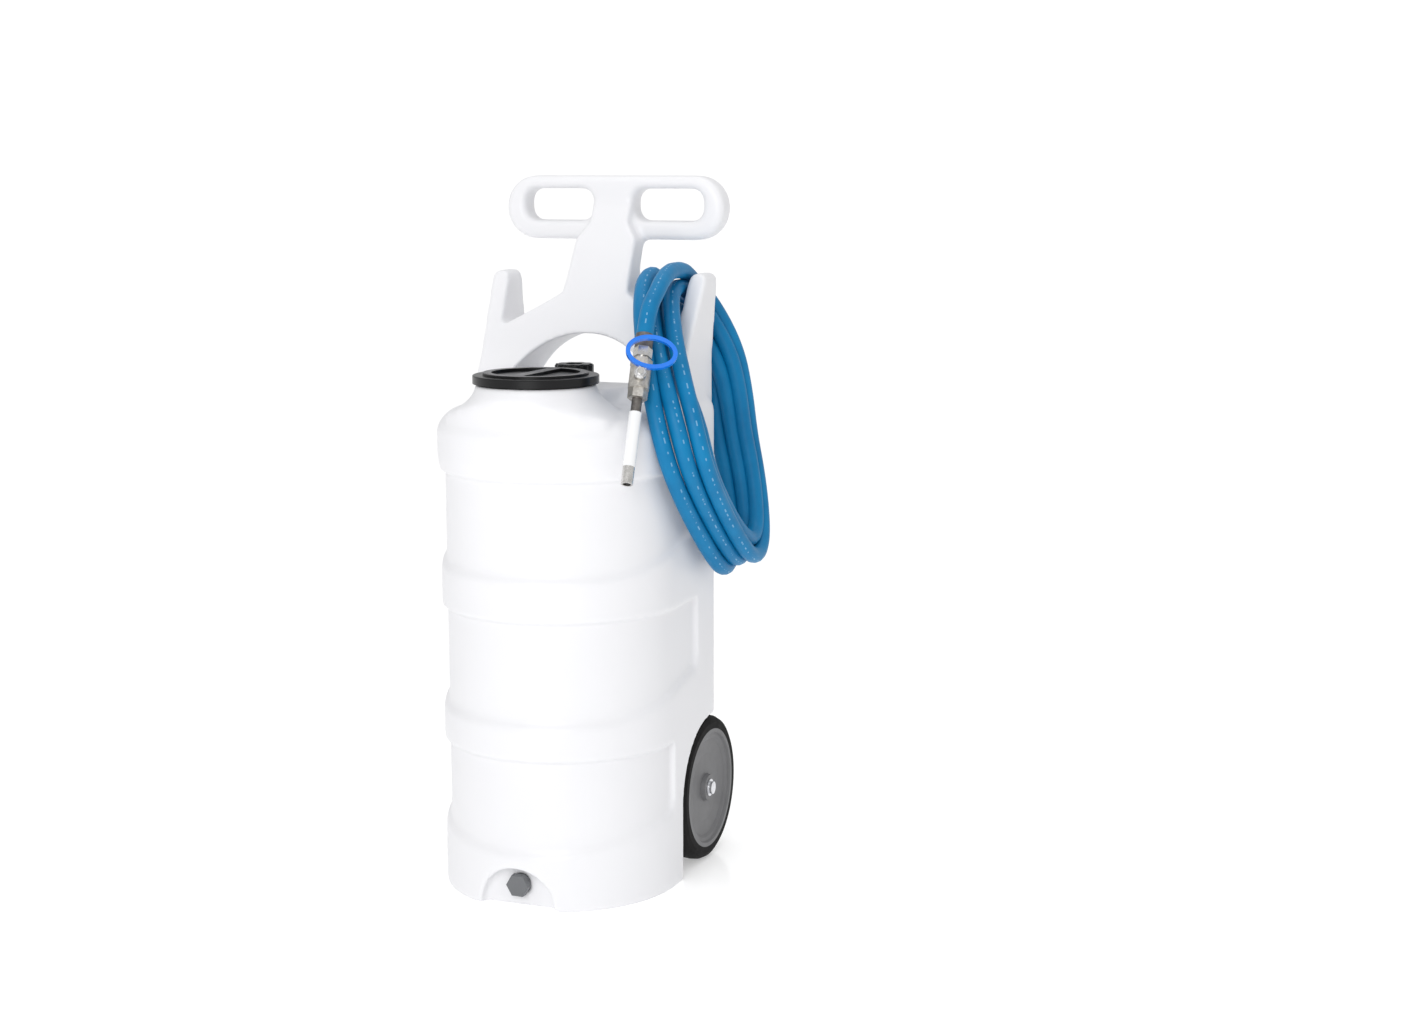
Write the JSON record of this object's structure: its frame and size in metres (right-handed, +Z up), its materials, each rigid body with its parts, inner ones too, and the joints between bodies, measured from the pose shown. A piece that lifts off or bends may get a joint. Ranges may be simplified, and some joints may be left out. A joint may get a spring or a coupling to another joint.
{
  "type": "wheeled portable tank",
  "caption": "Upright moulded tank on two wheels with a T-handle, screw lid, drain plug, and a coiled hose ending in a ball valve and wand.",
  "frame": {"origin": "on the floor, midway between the front of the tank and the back of the wheels, on the centre plane", "axes": "+Z up, -Y the front with the drain plug and lid, +X the side that carries the hose"},
  "size_m": [0.4885, 0.503, 1.188],
  "materials": {
    "tank_pe": "white rotomoulded polyethylene, satin",
    "black_plastic": "black, semi gloss",
    "gasket_rubber": "matt black rubber",
    "plug_plastic": "dark grey, matt",
    "hub_grey": "mid grey, satin",
    "tyre_rubber": "black rubber",
    "zinc_steel": "zinc plated",
    "acetal": "off-white acetal",
    "grey_pvc": "grey pipe plastic",
    "hose_blue": "blue rubber, satin",
    "stainless": "cast and turned stainless steel",
    "dark_steel": "dark oiled steel",
    "ptfe": "white seat plastic",
    "vinyl_blue": "blue dipped vinyl",
    "sleeve_white": "white sleeve"
  },
  "bodies": {
    "tank": {"tank_body": "tank_pe", "neck_ring": "black_plastic", "vent_fitting": "black_plastic", "drain_bushing": "plug_plastic", "drain_nut": "plug_plastic", "axle": "zinc_steel", "axle_washers": "zinc_steel", "axle_caps": "zinc_steel", "outlet_elbow": "grey_pvc", "outlet_nut": "grey_pvc", "outlet_ferrule": "stainless", "dip_tube": "grey_pvc", "foot_strainer": "grey_pvc", "hose_coil": "hose_blue", "hose_lead": "hose_blue", "hose_end": "hose_blue", "valve_ferrule": "dark_steel", "hose_stem": "stainless", "valve_body": "stainless", "valve_seats": "ptfe", "valve_adapter": "stainless", "wand_pipe": "dark_steel", "wand_sleeve": "sleeve_white", "wand_tip": "stainless"},
    "lid_lift": {"lid_gasket": "gasket_rubber"},
    "lid": {"lid": "black_plastic"},
    "vent_lift": {"vent_gasket": "gasket_rubber"},
    "vent_cap": {"vent_cap": "black_plastic"},
    "plug_pull": {"drain_gasket": "gasket_rubber"},
    "drain_plug": {"drain_plug": "plug_plastic"},
    "left_wheel": {"wheel_left": "hub_grey", "tyre_left": "tyre_rubber", "wheel_bush_left": "acetal"},
    "right_wheel": {"wheel_right": "hub_grey", "tyre_right": "tyre_rubber", "wheel_bush_right": "acetal"},
    "valve_handle": {"valve_ball": "stainless", "valve_stem": "stainless", "handle_bracket": "stainless", "handle_ring": "vinyl_blue", "handle_nut": "zinc_steel"}
  },
  "joints": [
    {"name": "lid_lift_off", "type": "slide", "parent": "tank", "child": "lid_lift", "axis": [0, 0, 1], "range_m": [0, 0.15]},
    {"name": "lid_turn", "type": "hinge", "parent": "lid_lift", "child": "lid", "pos_m": [0, -0.1435, 0.871], "axis": [0, 0, 1], "range_deg": [0, 360]},
    {"name": "vent_cap_lift", "type": "slide", "parent": "tank", "child": "vent_lift", "axis": [0, 0, 1], "range_m": [0, 0.03]},
    {"name": "vent_cap_turn", "type": "hinge", "parent": "vent_lift", "child": "vent_cap", "pos_m": [0, 0.005, 0.876], "axis": [0, 0, 1], "range_deg": [0, 360]},
    {"name": "drain_plug_pull", "type": "slide", "parent": "tank", "child": "plug_pull", "axis": [0, -1, 0], "range_m": [0, 0.06]},
    {"name": "drain_plug_turn", "type": "hinge", "parent": "plug_pull", "child": "drain_plug", "pos_m": [0, -0.228, 0.038], "axis": [0, -1, 0], "range_deg": [0, 360]},
    {"name": "left_wheel_spin", "type": "hinge", "parent": "tank", "child": "left_wheel", "pos_m": [-0.177, 0.1245, 0.127], "axis": [1, 0, 0], "continuous": true},
    {"name": "right_wheel_spin", "type": "hinge", "parent": "tank", "child": "right_wheel", "pos_m": [0.177, 0.1245, 0.127], "axis": [1, 0, 0], "continuous": true},
    {"name": "valve_handle_turn", "type": "hinge", "parent": "tank", "child": "valve_handle", "pos_m": [0.17543, -0.12781, 0.86706], "axis": [-0.3885, 0.7896, -0.4751], "range_deg": [0, 90]}
  ]
}
